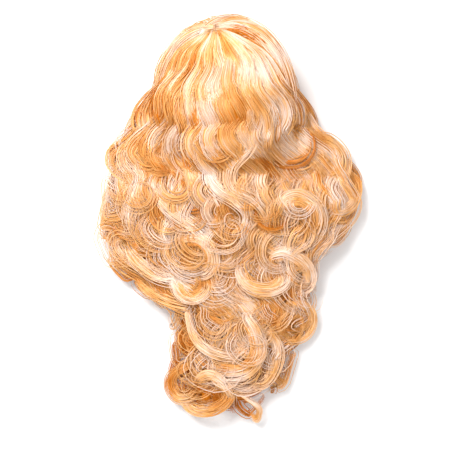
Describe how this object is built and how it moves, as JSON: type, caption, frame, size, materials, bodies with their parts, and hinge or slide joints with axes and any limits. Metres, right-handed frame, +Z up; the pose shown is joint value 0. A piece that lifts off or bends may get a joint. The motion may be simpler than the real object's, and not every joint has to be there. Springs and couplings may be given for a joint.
{
  "type": "long curly wig",
  "caption": "Long layered curly wig lying on its face side, with its machine-sewn cap, ear tabs, hooked size adjusters and loose length of hair.",
  "frame": {"origin": "centre of the bounding box's bottom, on the surface that the wig lies on", "axes": "+Y towards the top of the head and away from the hair's ends, +Z up, towards the back of the head, +X to the right seen from above"},
  "size_m": [0.428, 0.6497, 0.139],
  "materials": {
    "velvet": "soft brown velvet ribbon",
    "lace": "light brown stretch lace",
    "crown_skin": "matt skin-coloured film",
    "elastic": "woven elastic",
    "weft_thread": "stitched weft",
    "steel": "plain steel",
    "hair": "golden blonde synthetic fibre, satin"
  },
  "bodies": {
    "cap": {"front_band": "velvet", "nape_band": "velvet", "temple_panel_left": "lace", "temple_panel_right": "lace", "crown_patch": "crown_skin", "ribbon_centre_back": "elastic", "ribbon_back_left": "elastic", "ribbon_back_right": "elastic", "ribbon_side_left": "elastic", "ribbon_side_right": "elastic", "ribbon_temple_left": "elastic", "ribbon_temple_right": "elastic", "ribbon_centre_front": "elastic", "weft_track_1": "weft_thread", "weft_track_2": "weft_thread", "weft_track_3": "weft_thread", "weft_track_4": "weft_thread", "weft_track_5": "weft_thread", "weft_track_6": "weft_thread", "weft_track_7": "weft_thread", "weft_track_8": "weft_thread", "weft_track_9": "weft_thread", "loop_tape_left": "elastic", "loop_tape_right": "elastic", "strap_casing_left": "velvet", "strap_casing_right": "velvet", "crown_hair": "hair", "back_hair": "hair", "front_hair": "hair", "temple_hair_left": "hair", "temple_hair_right": "hair", "ear_hair_left": "hair", "ear_hair_right": "hair", "nape_hair": "hair", "side_curls_left": "hair", "side_curls_right": "hair"},
    "hair_length": {"length_centre": "hair", "length_curls_left": "hair", "length_curls_right": "hair", "length_lower": "hair", "tail_curls": "hair"},
    "ear_tab_left": {"ear_tab_left": "velvet", "ear_stay_left": "steel", "ear_lining_left": "lace"},
    "ear_tab_right": {"ear_tab_right": "velvet", "ear_stay_right": "steel", "ear_lining_right": "lace"},
    "adjuster_left": {"adjuster_strap_left": "elastic", "adjuster_hook_left": "steel"},
    "adjuster_right": {"adjuster_strap_right": "elastic", "adjuster_hook_right": "steel"}
  },
  "joints": [
    {"name": "hair_length_lift", "type": "hinge", "parent": "cap", "child": "hair_length", "pos_m": [0, 0.0495, 0.092], "axis": [-1, 0, 0], "range_deg": [0, 60]},
    {"name": "ear_tab_bend_left", "type": "hinge", "parent": "cap", "child": "ear_tab_left", "pos_m": [-0.08425, 0.17907, 0.015], "axis": [-0.3583, -0.0592, 0.9317], "range_deg": [0, 30]},
    {"name": "ear_tab_bend_right", "type": "hinge", "parent": "cap", "child": "ear_tab_right", "pos_m": [0.08425, 0.17907, 0.015], "axis": [-0.3583, 0.0592, -0.9317], "range_deg": [0, 30]},
    {"name": "adjuster_travel_left", "type": "hinge", "parent": "cap", "child": "adjuster_left", "pos_m": [0, 0.16342, 0.038], "axis": [0, 0, 1], "range_deg": [0, 18]},
    {"name": "adjuster_travel_right", "type": "hinge", "parent": "cap", "child": "adjuster_right", "pos_m": [0, 0.16342, 0.038], "axis": [0, 0, -1], "range_deg": [0, 18]}
  ]
}
